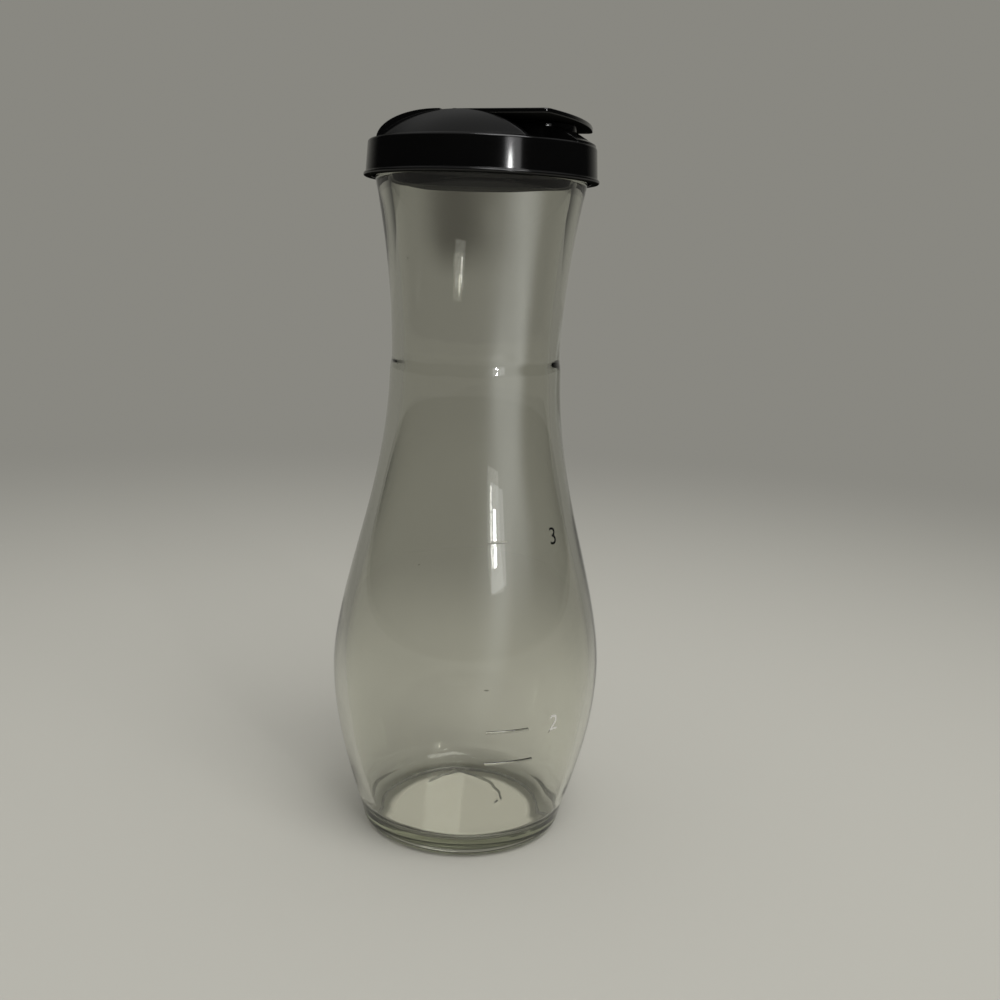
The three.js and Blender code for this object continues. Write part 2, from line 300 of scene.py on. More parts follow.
@dataclass(frozen=True)
class MouldedPlastic:
    """Black moulded plastic, polished in the mould, its edges a little rounded and worn; faces that look
    downwards take a matte copy without reflections, as painted shade.
    """

    name: str
    colour: Colour = (0.002, 0.002, 0.002, 1.0)
    refraction: float = 1.49
    polish: float = 0.1
    wear: float = 0.1
    smear_size: float = 14 * MM
    smear_detail: float = 3.0
    edge_radius: float = 0.25 * MM
    edge_samples: int = 6
    # The matte copy for downward-facing faces, which keeps them dark as painted shade.
    underside_shade_colour: Colour = (0.009, 0.009, 0.0085, 1.0)
    underside_shade_roughness: float = 0.8
    underside_shade_gloss: float = 0.0
    underside_shade_facing: Point = (-0.35, -0.8)

    def material(self) -> bpy.types.Material:
        """Builds the plastic.

        Returns:
            The material.
        """
        material, shop = new_material(self.name)
        place = shop.node("ShaderNodeTexCoord", output="Object")
        pattern = {"Vector": place, "Scale": 1 / self.smear_size, "Detail": self.smear_detail}
        smears = shop.node("ShaderNodeTexNoise", inputs=pattern)
        rounded = shop.node("ShaderNodeBevel", {"samples": self.edge_samples}, {"Radius": self.edge_radius})
        roughness = self.polish + self.wear * smears**2
        polished = shop.surface(self.colour, roughness, IOR=self.refraction, Normal=rounded)
        # Downward-facing faces get a matte copy with no reflection, which keeps them dark as painted shade.
        dull = shop.surface(self.underside_shade_colour, self.underside_shade_roughness, Specular_IOR_Level=self.underside_shade_gloss)
        facing = shop.node("ShaderNodeTexCoord", output="Normal").part(2)
        sides = {0: facing.eased(*self.underside_shade_facing), 1: polished, 2: dull}
        shop.end(shop.node("ShaderNodeMixShader", inputs=sides))
        return material


@dataclass(frozen=True)
class SoftPlastic:
    """Soft black stopper plastic with a dull, fine-grained skin."""

    colour: Colour = (0.003, 0.003, 0.003, 1.0)
    roughness: float = 0.9
    gloss: float = 0.0
    grain_size: float = 0.5 * MM
    grain_depth: float = 0.1

    def material(self) -> bpy.types.Material:
        """Builds the soft plastic.

        Returns:
            The material.
        """
        material, shop = new_material("soft_black")
        place = shop.node("ShaderNodeTexCoord", output="Object")
        grain = shop.node("ShaderNodeTexNoise", inputs={"Vector": place, "Scale": 1 / self.grain_size})
        relief = {"Strength": self.grain_depth, "Distance": self.grain_size, "Height": grain}
        bump = shop.node("ShaderNodeBump", inputs=relief)
        shop.end(shop.surface(self.colour, self.roughness, Specular_IOR_Level=self.gloss, Normal=bump))
        return material


def between(low: float, high: float, count: int, radius_at: Callable[[float], float]) -> Outline:
    """Follows a radius that depends on the height.

    Args:
        low: The height that the run starts at.
        high: The height that it ends at.
        count: The number of steps.
        radius_at: Gives the radius at a height.

    Returns:
        The points after the first, as radius and height.
    """
    heights = [low + (high - low) * (i / count) for i in range(1, count + 1)]
    return [(radius_at(height), height) for height in heights]


def quarter(first: Point, last: Point, leaves_level: bool, count: int = 10) -> Outline:
    """Rounds the corner between two points with a quarter of an ellipse.

    Args:
        first: Where the curve starts.
        last: Where it ends.
        leaves_level: True if it leaves the first point along the radius, False if it leaves upright.
        count: The number of steps.

    Returns:
        The points from first to last.
    """
    points = []
    for i in range(count + 1):
        angle = i / count * math.pi / 2
        slow, fast = 1 - math.cos(angle), math.sin(angle)
        across, up = (fast, slow) if leaves_level else (slow, fast)
        points.append((first[0] + (last[0] - first[0]) * across, first[1] + (last[1] - first[1]) * up))
    return points


def arc(centre: Point, radius: float, start: float, end: float, count: int) -> Outline:
    """Follows an arc.

    Args:
        centre: Its centre.
        radius: Its radius.
        start: The angle that it starts at.
        end: The angle that it ends at.
        count: The number of steps.

    Returns:
        The points from start to end.
    """
    turns = [start + (end - start) * (i / count) for i in range(count + 1)]
    return [(centre[0] + radius * math.cos(turn), centre[1] + radius * math.sin(turn)) for turn in turns]


@dataclass(frozen=True)
class Waves:
    """How far a pressed wall strays from a true turned one, and the shear scar in its base."""

    depth: float = 0.0
    length: float = 30 * MM
    stretch: float = 0.4
    lift: float = 0.0
    scar_depth: float = 0.0
    scar_radius: float = 10.5 * MM
    scar_width: float = 0.7 * MM
    scar_length_share: float = 1.4
    scar_turn: float = math.radians(20)
    scar_place: Place = (-1.5 * MM, 2.7 * MM, 0.0)


@dataclass(frozen=True)
class Stray:
    """What share one point of an outline takes in the waves, the lift and the shear scar."""

    wave: float = 0.0
    lift: float = 0.0
    scar: float = 0.0


class Machine:
    """A tree of geometry nodes with named inputs, which makes one kind of shape."""

    KINDS = {int: "NodeSocketInt", float: "NodeSocketFloat", tuple: "NodeSocketVector"}

    def __init__(self, name: str, samples: dict[str, object]) -> None:
        """Makes the tree with its inputs.

        Args:
            name: The tree's name.
            samples: A value of the right type for each input, or None where it takes a material.
        """
        self.tree = bpy.data.node_groups.new(name, "GeometryNodeTree")
        self.shop = NodeShop(self.tree)
        self.sockets = {}
        face = self.tree.interface
        face.new_socket("Geometry", in_out="INPUT", socket_type="NodeSocketGeometry")
        for label, sample in samples.items():
            kind = self.KINDS.get(type(sample), "NodeSocketMaterial")
            self.sockets[label] = face.new_socket(label, in_out="INPUT", socket_type=kind).identifier
        face.new_socket("Geometry", in_out="OUTPUT", socket_type="NodeSocketGeometry")
        self.entry = self.tree.nodes.new("NodeGroupInput")

    def ask(self, label: str) -> Value:
        """Looks up one of the tree's inputs."""
        return Value(self.shop, self.entry.outputs[label])

    def finish(self, geometry: Value) -> None:
        """Ends the tree with smooth shading, real instances and the finish.

        Args:
            geometry: What the tree has made.
        """
        smooth = self.shop.node("GeometryNodeSetShadeSmooth", inputs={"Geometry": geometry})
        real = self.shop.node("GeometryNodeRealizeInstances", inputs={"Geometry": smooth})
        dress = {"Geometry": real, "Material": self.ask("Material")}
        dressed = self.shop.node("GeometryNodeSetMaterial", inputs=dress)
        self.shop.node("NodeGroupOutput", inputs={"Geometry": dressed})

    def run(self, mesh: bpy.types.Mesh, entries: dict[str, object]) -> Solid:
        """Runs the tree on a mesh.

        Args:
            mesh: What it starts from.
            entries: The value of each input that is set, by its name.

        Returns:
            A plain mesh object, closed and with its faces outwards.
        """
        piece = linked(mesh.name, mesh)
        modifier = piece.modifiers.new(self.tree.name, "NODES")
        modifier.node_group = self.tree
        for label, entry in entries.items():
            modifier[self.sockets[label]] = entry
        return settled(piece)


class Wheel(Machine):
    """Turns an outline about the Z axis, as glass and moulds are turned."""

    LIFT_NOISE = 1.6
    RING_NOISE = 1.7
    RING_STRAY = 0.35
    SCAR_HEADING = (0.42, 0.65)
    SCAR_FADE = 0.3

    def __init__(self) -> None:
        """Builds the tree: it sweeps the outline round a circle and strays the marked points."""
        super().__init__("turned_about_z", self._entries(1, Waves(), None))
        shop, ask = self.shop, self.ask
        outline = shop.node("GeometryNodeMeshToCurve", inputs={"Mesh": ask("Geometry")})
        ring = {"Resolution": ask("Sides"), "Radius": 1.0}
        circle = shop.node("GeometryNodeCurvePrimitiveCircle", inputs=ring)
        swept = shop.node("GeometryNodeCurveToMesh", inputs={"Curve": circle, "Profile Curve": outline})
        seam = {"Geometry": swept, "Distance": ask("Weld")}
        welded = shop.node("GeometryNodeMergeByDistance", inputs=seam)
        moved = {"Geometry": welded, "Offset": self._offset()}
        self.finish(shop.node("GeometryNodeSetPosition", inputs=moved))

    @staticmethod
    def _entries(sides: int, waves: Waves, material: bpy.types.Material | None) -> dict[str, object]:
        """Lists the tree's inputs, with one for each size of the waves."""
        strays = {name.replace("_", " ").capitalize(): size for name, size in vars(waves).items()}
        return {"Sides": sides, "Weld": WELD, "Material": material, **strays}

    def _offset(self) -> Value:
        """Works out how far each point strays.

        Returns:
            The offset as a vector.
        """
        shop, ask = self.shop, self.ask
        place = shop.node("GeometryNodeInputPosition")
        flat = shop.vector("MULTIPLY", place, (1, 1, 0))
        outward = shop.vector("NORMALIZE", flat)
        tall = shop.upright(place.part(2) * ask("Stretch"))
        wave = shop.noise(shop.vector("ADD", flat, tall), 1 / ask("Length"))
        sideways = shop.vector("SCALE", outward, scale=wave * ask("Depth") * shop.attribute("wave"))
        turned = shop.node(
            "ShaderNodeVectorRotate",
            {"rotation_type": "Z_AXIS", "invert": True},
            {"Vector": shop.vector("SUBTRACT", flat, ask("Scar place")), "Angle": ask("Scar turn")},
        )
        across, along = turned.part(0), turned.part(1)
        oval = shop.node("ShaderNodeCombineXYZ", inputs={0: across, 1: along / ask("Scar length share")})
        reach = shop.vector("LENGTH", oval) / ask("Scar radius")
        ring = 1 + self.RING_STRAY * shop.noise(shop.vector("NORMALIZE", oval), self.RING_NOISE)
        heading = (across * self.SCAR_HEADING[0] + along * self.SCAR_HEADING[1]) / ask("Scar radius")
        scar = shop.bell((reach - ring) * ask("Scar radius") / ask("Scar width"))
        dent = scar * heading.eased(0.0, self.SCAR_FADE) * ask("Scar depth") * shop.attribute("scar")
        lift = shop.noise(outward, self.LIFT_NOISE) * ask("Lift") * shop.attribute("lift")
        return shop.vector("ADD", sideways, shop.upright(lift + dent))

    def turn(
        self,
        name: str,
        outline: Sequence[Point],
        sides: int,
        material: bpy.types.Material,
        strays: Sequence[Stray] = (),
        waves: Waves = Waves(),
        closed: bool = False,
    ) -> Solid:
        """Turns one outline.

        Args:
            name: The name of the piece.
            outline: Radius and height of each point, up the outside and down the inside.
            sides: The number of facets round the axis.
            material: The finish.
            strays: Each point's share in the waves, or nothing for a true surface.
            waves: How far the wall strays.
            closed: True if the outline closes on itself, False if both of its ends lie on the axis.

        Returns:
            A plain mesh object, closed and with its faces outwards.
        """
        count = len(outline)
        mesh = bpy.data.meshes.new(name)
        edges = [(i, (i + 1) % count) for i in range(count if closed else count - 1)]
        mesh.from_pydata([(radius - 1.0, -height, 0.0) for radius, height in outline], edges, [])
        for kind in vars(Stray()):
            shares = mesh.attributes.new(kind, "FLOAT", "POINT")
            shares.data.foreach_set("value", [getattr(s, kind) for s in strays or [Stray()] * count])
        return self.run(mesh, self._entries(sides, waves, material))


class Beader(Machine):
    """Lays a raised bar along an arc round the glass, with its ends rounded off."""

    INPUTS = ("Radius", "Start", "Sweep", "Height", "Section")
    STEPS = 48
    SECTION_SIDES = 20
    FULLEST = 1.002
    BLUNTNESS = 12

    def __init__(self) -> None:
        """Builds the tree: it sweeps a round section along the arc and thins it at both ends."""
        super().__init__("raised_bar", {**dict.fromkeys(self.INPUTS, 0.0), "Material": None})
        shop, ask = self.shop, self.ask
        path = {
            "Resolution": self.STEPS,
            "Radius": ask("Radius"),
            "Start Angle": ask("Start"),
            "Sweep Angle": ask("Sweep"),
        }
        arc_path = shop.node("GeometryNodeCurveArc", {"mode": "RADIUS"}, path)
        along = shop.node("GeometryNodeSplineParameter", output="Factor")
        fullness = (self.FULLEST - abs(along * 2 - 1) ** self.BLUNTNESS) ** 0.5
        tapered = shop.node("GeometryNodeSetCurveRadius", inputs={"Curve": arc_path, "Radius": fullness})
        ring = {"Resolution": self.SECTION_SIDES, "Radius": ask("Section")}
        section = shop.node("GeometryNodeCurvePrimitiveCircle", inputs=ring)
        sweep = {"Curve": tapered, "Profile Curve": section, "Fill Caps": True}
        swept = shop.node("GeometryNodeCurveToMesh", inputs=sweep)
        moved = {"Geometry": swept, "Offset": shop.upright(ask("Height"))}
        self.finish(shop.node("GeometryNodeSetPosition", inputs=moved))

    def bar(self, radius: float, start: float, sweep: float, height: float, section: float) -> Solid:
        """Makes one bar.

        Args:
            radius: The radius of the arc that the bar's middle follows.
            start: The angle that it starts at.
            sweep: The angle that it covers.
            height: Its height above the base.
            section: The radius of its section.

        Returns:
            A plain mesh object.
        """
        sizes = dict(zip(self.INPUTS, (radius, start, sweep, height, section)))
        return self.run(bpy.data.meshes.new("bar"), sizes)


def linked(name: str, data: bpy.types.ID) -> bpy.types.Object:
    """Makes an object and puts it into the scene.

    Args:
        name: Its name.
        data: Its mesh, curve, lamp or camera.

    Returns:
        The object.
    """
    made = bpy.data.objects.new(name, data)
    bpy.context.scene.collection.objects.link(made)
    return made


def settled(piece: Solid, outward: bool = True) -> Solid:
    """Turns an object with live modifiers into a plain mesh.

    Args:
        piece: The object, at the origin and unturned.
        outward: True to work out which way its faces point, False where they are right already.

    Returns:
        The same object with the evaluated mesh and no modifiers.
    """
    mesh = evaluated_mesh(piece)
    piece.modifiers.clear()
    piece.data = mesh
    worked = bmesh.new()
    worked.from_mesh(mesh)
    bmesh.ops.remove_doubles(worked, verts=worked.verts, dist=WELD)
    if outward:
        bmesh.ops.recalc_face_normals(worked, faces=worked.faces)
        if worked.calc_volume(signed=True) < 0:
            bmesh.ops.reverse_faces(worked, faces=worked.faces)
    worked.to_mesh(mesh)
    worked.free()
    return piece


def evaluated_mesh(piece: Solid) -> bpy.types.Mesh:
    """Makes a plain mesh of what an object shows.

    Args:
        piece: The object.

    Returns:
        The mesh.
    """
    bpy.context.view_layer.update()
    return bpy.data.meshes.new_from_object(piece.evaluated_get(bpy.context.evaluated_depsgraph_get()))


def combined(
    base: Solid, add: Sequence[Solid] = (), keep: Sequence[Solid] = (), cut: Sequence[Solid] = ()
) -> Solid:
    """Joins solids to a base, keeps what lies in others and cuts others away, and removes these tools.

    Args:
        base: The solid that is changed.
        add: The solids that are joined to it first.
        keep: The solids that it is then kept inside of.
        cut: The solids that are cut from it last.

    Returns:
        The base with a plain mesh.
    """
    for join, tools in ((Join.ADD, add), (Join.KEEP, keep), (Join.CUT, cut)):
        for tool in tools:
            modifier = base.modifiers.new(join.name, "BOOLEAN")
            modifier.operation = join.value
            modifier.solver = "MANIFOLD"
            modifier.object = tool
    settled(base, outward=False)
    for tool in (*add, *keep, *cut):
        bpy.data.objects.remove(tool)
    return base


def object_from(worked: bmesh.types.BMesh, name: str) -> Solid:
    """Puts a finished bmesh into the scene.

    Args:
        worked: The bmesh, which is freed.
        name: The name of its object.

    Returns:
        The object, with its faces outwards.
    """
    bmesh.ops.recalc_face_normals(worked, faces=worked.faces)
    mesh = bpy.data.meshes.new(name)
    worked.to_mesh(mesh)
    worked.free()
    return linked(name, mesh)


def block(low: Sequence[float], high: Sequence[float]) -> Solid:
    """Makes a box.

    Args:
        low: Its lowest corner.
        high: Its highest corner.

    Returns:
        The box.
    """
    worked = bmesh.new()
    size = [b - a for a, b in zip(low, high)]
    middle = [(a + b) / 2 for a, b in zip(low, high)]
    bmesh.ops.create_cube(worked, size=1.0, matrix=Matrix.Translation(middle) @ Matrix.Diagonal((*size, 1.0)))
    return object_from(worked, "block")


def rod(radius: float, length: float, place: Matrix, sides: int) -> Solid:
    """Makes a round bar.

    Args:
        radius: Its radius.
        length: Its length.
        place: The place of its middle, whose Z axis it lies on.
        sides: The number of its facets.

    Returns:
        The bar.
    """
    worked = bmesh.new()
    ends = {"radius1": radius, "radius2": radius, "depth": length}
    bmesh.ops.create_cone(worked, cap_ends=True, segments=sides, matrix=place, **ends)
    return object_from(worked, "rod")


def cross_bar(radius: float, half_length: float, height: float) -> Solid:
    """Makes a round bar along Y over the origin, at a height."""
    place = Matrix.Translation((0, 0, height)) @ Matrix.Rotation(math.pi / 2, 4, "X")
    return rod(radius, half_length * 2, place, BAR_SIDES)


def plug(radius: float, low: float, high: float, centre: float = 0.0, sides: int = PLUG_SIDES) -> Solid:
    """Makes an upright round plug between two heights."""
    return rod(radius, high - low, Matrix.Translation((centre, 0, (low + high) / 2)), sides)


def ruled(rings: Sequence[Sequence[Place]], name: str) -> Solid:
    """Makes a solid through rings of points, and closes both of its ends.

    Args:
        rings: The rings, which have as many points each.
        name: The name of the solid.

    Returns:
        The solid.
    """
    worked = bmesh.new()
    corners = [[worked.verts.new(place) for place in ring] for ring in rings]
    worked.faces.new(corners[0])
    worked.faces.new(corners[-1])
    for near, far in zip(corners, corners[1:]):
        for i in range(len(near)):
            j = (i + 1) % len(near)
            worked.faces.new((near[i], near[j], far[j], far[i]))
    return object_from(worked, name)


def hand_over(
    piece: Solid, node: str, body: Body, material: bpy.types.Material | None = None
) -> None:
    """Shades a finished piece smoothly, with sharp creases, and lets it stand for a CAD node.

    Args:
        piece: The finished piece, at the origin.
        node: The node that it replaces.
        body: The body that it moves with.
        material: Its finish, where it isn't dressed yet.
    """
    if material is not None:
        piece.data.materials.clear()
        piece.data.materials.append(material)
    piece.data.shade_smooth()
    piece.data.set_sharp_from_angle(angle=CREASE)
    piece.name = node + "_finished"
    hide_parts(node)
    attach(piece, body.value)
    LOG.info("%s: %d faces on %s", piece.name, len(piece.data.polygons), body.value)


@dataclass
class Bottle:
    """The glass: a waisted body on a pushed-up base, a flared neck, a finish and three fill marks."""

    wheel: Wheel
    bearing_radius: float = 24.8 * MM
    bearing_width: float = 2 * MM
    punt_depth: float = 1.2 * MM
    heel_radius: float = 28.15 * MM
    heel_height: float = 3.2 * MM
    belly_radius: float = 36.85 * MM
    belly_height: float = 46.5 * MM
    body_height: float = 128.9 * MM
    waist_radius: float = 22.8 * MM
    neck_radius: float = 22.35 * MM
    step_height: float = 0.5 * MM
    step_ease: float = 1.4 * MM
    finish_radius: float = 25.9 * MM
    lip_round: float = 0.6 * MM
    shoulder_height: float = 176.2 * MM
    shoulder_step: float = 1.55 * MM
    shoulder_rise: float = 1.6 * MM
    mouth_radius: float = 23.6 * MM
    bore_depth: float = 7.1 * MM
    body_wall: float = 3 * MM
    neck_wall: float = 2.75 * MM
    floor: float = 5.0 * MM
    fillet: float = 4 * MM
    body_ease: float = 0.85
    neck_flare: float = 1.94
    sides: int = 240
    punt_steps: int = 56
    lip_steps: int = 5
    outer_steps: tuple[int, ...] = (22, 42, 14, 30)
    inner_steps: tuple[int, ...] = (14, 20, 44, 26)
    mark_heights: tuple[float, ...] = (30.4 * MM, 39.3 * MM, 86.8 * MM)
    mark_shares: tuple[float, ...] = (1.0, 0.87, 0.4)
    mark_length: float = 13 * MM
    mark_section: float = 0.4 * MM
    mark_start: float = math.radians(-61)
    number_places: tuple[float, ...] = (math.radians(-30.5), math.radians(-30.5), math.radians(-22))
    number_height: float = 6.2 * MM
    number_proud: float = 0.035 * MM
    number_bite: float = 0.6 * MM
    number_curve_steps: int = 6
    seed_subdivisions: int = 3
    seeds: tuple[tuple[float, ...], ...] = (
        (50.3 * MM, math.radians(-61.2), 0.6 * MM, 0.16 * MM),
        (102.0 * MM, math.radians(38), 0.25 * MM, 0.2 * MM),
        (156.0 * MM, math.radians(-118), 0.3 * MM, 0.16 * MM),
        (66.0 * MM, math.radians(140), 0.35 * MM, 0.18 * MM),
    )
    waves: Waves = Waves(depth=0.5 * MM, length=18 * MM, stretch=0.2, lift=2.5 * MM, scar_depth=0.35 * MM)
    waist_stray: float = 1.2
    waist_reach: float = 11 * MM
    floor_stray: float = 2.2
    floor_reach: float = 9 * MM
    mouth_reach: float = 6 * MM
    line_reach: float = 5 * MM
    finish: ClearGlass = ClearGlass()

    def __post_init__(self) -> None:
        """Takes the height of the lip from the frame, and works out where the profile changes."""
        self.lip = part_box("bottle")[1].z
        self.neck_bottom = self.body_height + self.step_height
        self.bore_bottom = self.lip - self.bore_depth
        self.step_low = self.body_height - self.step_ease
        self.step_high = self.neck_bottom + self.step_ease

    def lower_radius(self, height: float) -> float:
        """Gives the outer radius between the heel and the belly."""
        share = (height - self.heel_height) / (self.belly_height - self.heel_height)
        return self.heel_radius + (self.belly_radius - self.heel_radius) * math.sin(share * math.pi / 2)

    def upper_radius(self, height: float, belly: float, waist: float, waist_height: float) -> float:
        """Gives the radius between the belly and the waist, for either face of the wall.

        Args:
            height: The height above the base.
            belly: The face's radius at the belly.
            waist: The face's radius at the waist.
            waist_height: The height of the waist on that face.

        Returns:
            The radius.
        """
        share = (height - self.belly_height) / (waist_height - self.belly_height)
        eased = (1 - math.cos(math.pi * share**self.body_ease)) / 2
        return belly + (waist - belly) * eased

    def flare_radius(self, height: float, bottom: float, top: float, top_height: float) -> float:
        """Gives the radius of the flaring neck, for either face of the wall.

        Args:
            height: The height above the base.
            bottom: The face's radius at the waist.
            top: The face's radius at the top of the flare.
            top_height: The height of the top of the flare.

        Returns:
            The radius.
        """
        share = max(height - self.neck_bottom, 0.0) / (top_height - self.neck_bottom)
        return bottom + (top - bottom) * share**self.neck_flare

    def surface_radius(self, height: float) -> float:
        """Gives the outer radius of the body.

        Args:
            height: The height above the base.

        Returns:
            The radius.
        """
        if height < self.belly_height:
            return self.lower_radius(height)
        return self.upper_radius(height, self.belly_radius, self.waist_radius, self.body_height)

    def neck_surface(self, height: float) -> float:
        """Gives the outer radius of the neck at a height."""
        top = self.finish_radius + self.shoulder_step
        return self.flare_radius(height, self.neck_radius, top, self.shoulder_height)

    def step_radius(self, height: float) -> float:
        """Gives the outer radius where the body's mould meets the neck's, softened as fire-polished glass is.

        Args:
            height: The height above the base.

        Returns:
            The radius.
        """
        share = (height - self.step_low) / (self.step_high - self.step_low)
        eased = share * share * (3 - 2 * share)
        return self.surface_radius(height) * (1 - eased) + self.neck_surface(height) * eased

    def outside(self) -> Outline:
        """Lists the outer face from the bearing ring up to the lip.

        Returns:
            The points, as radius and height.
        """
        lower, upper, line, neck = self.outer_steps
        shoulder = self.finish_radius + self.shoulder_step
        shoulder_top = self.shoulder_height + self.shoulder_rise
        lip_corner = (self.finish_radius, self.lip - self.lip_round)
        lip_top = (self.finish_radius - self.lip_round, self.lip)
        return [
            *quarter((self.bearing_radius, 0.0), (self.heel_radius, self.heel_height), True),
            *between(self.heel_height, self.belly_height, lower, self.lower_radius),
            *between(self.belly_height, self.step_low, upper, self.surface_radius),
            *between(self.step_low, self.step_high, line, self.step_radius),
            *between(self.step_high, self.shoulder_height, neck, self.neck_surface),
            *quarter((shoulder, self.shoulder_height), (self.finish_radius, shoulder_top), False)[1:],
            *quarter(lip_corner, lip_top, False, self.lip_steps),
        ]

    def inside(self) -> Outline:
        """Lists the inner face from the lip down to the floor.

        Returns:
            The points, as radius and height.
        """
        fillet, lower, upper, neck = self.inner_steps
        fillet_top = self.floor + self.fillet
        fillet_radius = self.lower_radius(fillet_top) - self.body_wall
        belly = self.belly_radius - self.body_wall
        waist = self.neck_radius - self.neck_wall
        mouth, bore = self.mouth_radius, self.bore_bottom
        lip_top = (mouth + self.lip_round, self.lip)
        upward = [
            *quarter((fillet_radius - self.fillet, self.floor), (fillet_radius, fillet_top), True, fillet),
            *between(fillet_top, self.belly_height, lower, lambda z: self.lower_radius(z) - self.body_wall),
            *between(
                self.belly_height,
                self.neck_bottom,
                upper,
                lambda z: self.upper_radius(z, belly, waist, self.neck_bottom),
            ),
            *between(self.neck_bottom, bore, neck, lambda z: self.flare_radius(z, waist, mouth, bore)),
            *quarter((mouth, self.lip - self.lip_round), lip_top, False, self.lip_steps),
        ]
        return upward[::-1]

    def punt(self) -> Outline:
        """Lists the pushed-up underside from the axis out to the bearing ring.

        Returns:
            The points, as radius and height.
        """
        bore = self.bearing_radius - self.bearing_width
        flat = bore - self.punt_depth
        level = [(flat * i / self.punt_steps, self.punt_depth) for i in range(self.punt_steps)]
        return [*level, *quarter((flat, self.punt_depth), (bore, 0.0), True)]

    def inner_stray(self, height: float) -> Stray:
        """Makes the inner face stray most where the neck was formed and where it turns into the floor.

        Args:
            height: The height above the base.

        Returns:
            The share that a point there takes.
        """
        at_waist = self.waist_stray * math.exp(-(((height - self.body_height) / self.waist_reach) ** 2))
        at_floor = self.floor_stray * math.exp(-(((height - self.floor) / self.floor_reach) ** 2))
        below_mouth = max(0.0, min(1.0, (self.bore_bottom - height) / self.mouth_reach))
        return Stray(wave=(1 + at_waist + at_floor) * below_mouth)

    def outer_stray(self, height: float) -> Stray:
        """Lets the mould line at the waist rise and fall round the glass."""
        return Stray(lift=math.exp(-(((height - self.body_height) / self.line_reach) ** 2)))

    def marks(self) -> list[Solid]:
        """Makes the raised fill lines.

        Returns:
            The bars.
        """
        beader = Beader()
        bars = []
        for height, share in zip(self.mark_heights, self.mark_shares):
            radius = self.surface_radius(height)
            sweep = self.mark_length * share / radius
            bars.append(beader.bar(radius, self.mark_start, sweep, height, self.mark_section))
        return bars

    def number(self, figure: str, height: float, angle: float) -> Solid:
        """Makes one plain raised number that lies on the glass.

        Args:
            figure: The number.
            height: The height of its middle above the base.
            angle: Its place round the axis.

        Returns:
            A closed solid that reaches a little into the wall.
        """
        font = bpy.data.curves.new("number", "FONT")
        font.body = figure
        font.size = self.number_height
        font.align_x, font.align_y = "CENTER", "CENTER"
        font.extrude = self.number_bite
        font.resolution_u = self.number_curve_steps
        writing = linked("number", font)
        worked = bmesh.new()
        worked.from_mesh(evaluated_mesh(writing))
        bpy.data.objects.remove(writing)
        bmesh.ops.remove_doubles(worked, verts=worked.verts, dist=WELD)
        for vertex in worked.verts:
            across, up, out = vertex.co
            radius = self.surface_radius(height + up) + (self.number_proud if out > 0 else -self.number_bite)
            turn = angle + across / self.surface_radius(height)
            vertex.co = (radius * math.cos(turn), radius * math.sin(turn), height + up)
        return object_from(worked, "number")

    def seed(self, height: float, angle: float, half_length: float, radius: float) -> Solid:
        """Makes one small bubble in the middle of the wall, drawn out round the glass.

        Args:
            height: Its height above the base.
            angle: Its place round the axis.
            half_length: Half its length.
            radius: Its radius across.

        Returns:
            The bubble as a solid.
        """
        worked = bmesh.new()
        middle = self.surface_radius(height) - self.body_wall / 2
        place = Matrix.Rotation(angle, 4, "Z") @ Matrix.Translation((middle, 0, height))
        shape = Matrix.Diagonal((radius, half_length, radius, 1.0))
        size = {"subdivisions": self.seed_subdivisions, "radius": 1.0}
        bmesh.ops.create_icosphere(worked, matrix=place @ shape, **size)
        return object_from(worked, "seed")

    def build(self) -> None:
        """Turns the glass, raises the marks on it and hands it over."""
        punt, outside, inside = self.punt(), self.outside(), self.inside()
        strays = [
            *[Stray(scar=float(height >= self.punt_depth)) for _, height in punt],
            *[self.outer_stray(height) for _, height in outside],
            *[self.inner_stray(height) for _, height in inside],
            Stray(),
        ]
        outline = [*punt, *outside, *inside, (0.0, self.floor)]
        glass = self.wheel.turn("glass", outline, self.sides, self.finish.material(), strays, self.waves)
        raised = self.marks()
        for i, place in enumerate(zip(self.mark_heights, self.number_places)):
            raised.append(self.number(str(i + 1), *place))
        combined(glass, add=raised, cut=[self.seed(*sizes) for sizes in self.seeds])
        hand_over(glass, "bottle", Body.BOTTLE)


@dataclass
class Stopper:
    """The soft stopper: a flange on the lip, and a plug with wiper fins."""

    wheel: Wheel
    sides: int = 160
    flange_radius: float = 25.3 * MM
    flange_thickness: float = 1 * MM
    fin_radius: float = 23.3 * MM
    fin_depth: float = 1.9 * MM
    fin_thickness: float = 0.8 * MM
    fin_rise: float = 0.6 * MM
    fin_count: int = 3
    plug_wall: float = 1.5 * MM
    finish: SoftPlastic = SoftPlastic()

    def build(self) -> None:
        """Turns the stopper and hands it over."""
        low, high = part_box("stopper")
        outer = self.fin_radius - self.fin_depth
        bore = outer - self.plug_wall
        flange_bottom = high.z - self.flange_thickness
        pitch = (flange_bottom - SEAT_GAP - low.z) / self.fin_count
        fins: Outline = []
        for i in range(self.fin_count):
            root = low.z + i * pitch
            fins += [
                (outer, root),
                (self.fin_radius, root + self.fin_rise),
                (self.fin_radius, root + self.fin_thickness),
                (outer, root + self.fin_thickness),
            ]
        outline = [
            (bore, low.z),
            *fins,
            (outer, flange_bottom),
            (self.flange_radius, flange_bottom),
            (self.flange_radius, high.z),
            (bore, high.z),
        ]
        stopper = self.wheel.turn("stopper", outline, self.sides, self.finish.material(), closed=True)
        hand_over(stopper, "stopper", Body.CAP)


